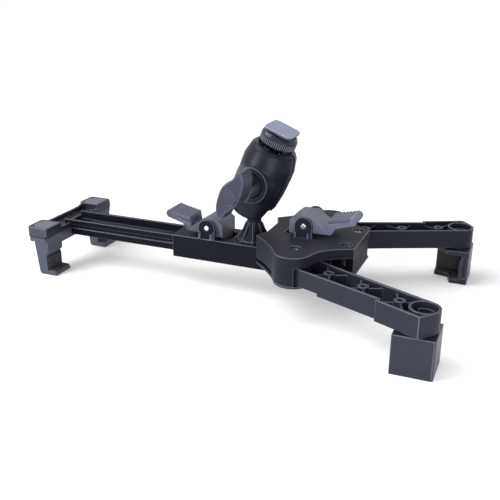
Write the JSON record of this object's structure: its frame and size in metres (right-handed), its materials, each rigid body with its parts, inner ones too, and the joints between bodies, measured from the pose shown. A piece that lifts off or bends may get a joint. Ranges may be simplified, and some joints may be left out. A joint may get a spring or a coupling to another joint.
{
  "type": "tablet holder",
  "caption": "Clamp holder for a tablet: sliding toothed rail with hooked end, hub with swinging arms and corner jaws, and a ball head with clamp knob and foot plate.",
  "frame": {"origin": "middle of the footprint, on the plane of the undersides of the hooks and jaws", "axes": "+X along the rail from the hooked end to the corner jaws, +Z away from the tablet to the ball head, +Y across, away from the clamp knob"},
  "size_m": [0.2576, 0.1486, 0.1008],
  "materials": {
    "body_plastic": "satin black",
    "head_plastic": "fine textured black",
    "lever_plastic": "charcoal",
    "inlay_plastic": "charcoal",
    "black_rubber": "matte",
    "bright_steel": "bright",
    "foot_plastic": "satin grey",
    "stem_black": "matte",
    "dark_screws": "black"
  },
  "bodies": {
    "chassis": {"slide_housing": "body_plastic", "hub_cover": "body_plastic", "ball_post": "head_plastic", "hub_screws": "dark_screws", "rail_lever_pin": "bright_steel", "arm_lever_pin": "bright_steel"},
    "rail": {"rail": "body_plastic", "end_bridge": "body_plastic", "end_hooks": "body_plastic", "cap_inlays": "inlay_plastic", "hook_pads": "black_rubber", "end_screws": "dark_screws"},
    "rail_lever": {"rail_lever": "lever_plastic", "rail_lever_pad": "lever_plastic"},
    "arm_lever": {"arm_lever": "lever_plastic", "arm_lever_pad": "lever_plastic"},
    "near_arm": {"near_arm": "body_plastic"},
    "far_arm": {"far_arm": "body_plastic"},
    "near_jaw": {"near_jaw": "body_plastic", "near_jaw_pads": "black_rubber", "near_jaw_screw": "dark_screws"},
    "far_jaw": {"far_jaw": "body_plastic", "far_jaw_pads": "black_rubber", "far_jaw_screw": "dark_screws"},
    "ball_turn": {"lower_ball": "black_rubber"},
    "socket_arm": {"socket_near": "head_plastic", "socket_far": "head_plastic", "clamp_nut": "bright_steel"},
    "knob": {"clamp_knob": "head_plastic", "knob_cap": "inlay_plastic", "clamp_bolt": "bright_steel"},
    "ball_roll": {"upper_ball": "black_rubber"},
    "stud": {"ball_stud": "stem_black", "foot_plate": "foot_plastic"},
    "ring": {"lock_ring": "head_plastic"}
  },
  "joints": [
    {"name": "rail_slide", "type": "slide", "parent": "chassis", "child": "rail", "axis": [1, 0, 0], "range_m": [-0.008, 0.057]},
    {"name": "rail_lever_press", "type": "hinge", "parent": "chassis", "child": "rail_lever", "pos_m": [-0.01555, 0, 0.037], "axis": [0, -1, 0], "range_deg": [0, 6], "stiffness_Nm_per_rad": 0.1, "springref_deg": -5.73},
    {"name": "arm_lever_press", "type": "hinge", "parent": "chassis", "child": "arm_lever", "pos_m": [0.04395, 0, 0.0463], "axis": [0, 1, 0], "range_deg": [0, 6], "stiffness_Nm_per_rad": 0.1, "springref_deg": -5.73},
    {"name": "near_arm_swing", "type": "hinge", "parent": "chassis", "child": "near_arm", "pos_m": [0.04515, -0.0282, 0.022], "axis": [0, 0, 1], "range_deg": [-2, 25]},
    {"name": "far_arm_swing", "type": "hinge", "parent": "chassis", "child": "far_arm", "pos_m": [0.04515, 0.0282, 0.022], "axis": [0, 0, -1], "range_deg": [-2, 25]},
    {"name": "near_jaw_swivel", "type": "hinge", "parent": "near_arm", "child": "near_jaw", "pos_m": [0.1208, -0.06237, 0.022], "axis": [0, 0, 1], "range_deg": [-30, 30]},
    {"name": "far_jaw_swivel", "type": "hinge", "parent": "far_arm", "child": "far_jaw", "pos_m": [0.1208, 0.06237, 0.022], "axis": [0, 0, -1], "range_deg": [-30, 30]},
    {"name": "lower_ball_turn", "type": "hinge", "parent": "chassis", "child": "ball_turn", "pos_m": [0.00985, 0, 0.0555], "axis": [0, 0, 1], "continuous": true},
    {"name": "lower_ball_tilt", "type": "hinge", "parent": "ball_turn", "child": "socket_arm", "pos_m": [0.00985, 0, 0.0555], "axis": [0.0698, 0.9976, 0], "range_deg": [-50, 10]},
    {"name": "knob_turn", "type": "hinge", "parent": "socket_arm", "child": "knob", "pos_m": [0.01477, -0.00034, 0.06753], "axis": [-0.0698, -0.9976, 0], "continuous": true},
    {"name": "upper_ball_roll", "type": "hinge", "parent": "socket_arm", "child": "ball_roll", "pos_m": [0.01932, -0.00066, 0.07863], "axis": [0.3785, -0.0265, 0.9252], "continuous": true},
    {"name": "upper_ball_tilt", "type": "hinge", "parent": "ball_roll", "child": "stud", "pos_m": [0.01932, -0.00066, 0.07863], "axis": [0.0698, 0.9976, 0], "range_deg": [-10, 10]},
    {"name": "lock_ring_turn", "type": "hinge", "parent": "stud", "child": "ring", "pos_m": [0.02462, -0.00103, 0.09158], "axis": [0.3785, -0.0265, 0.9252], "continuous": true}
  ]
}
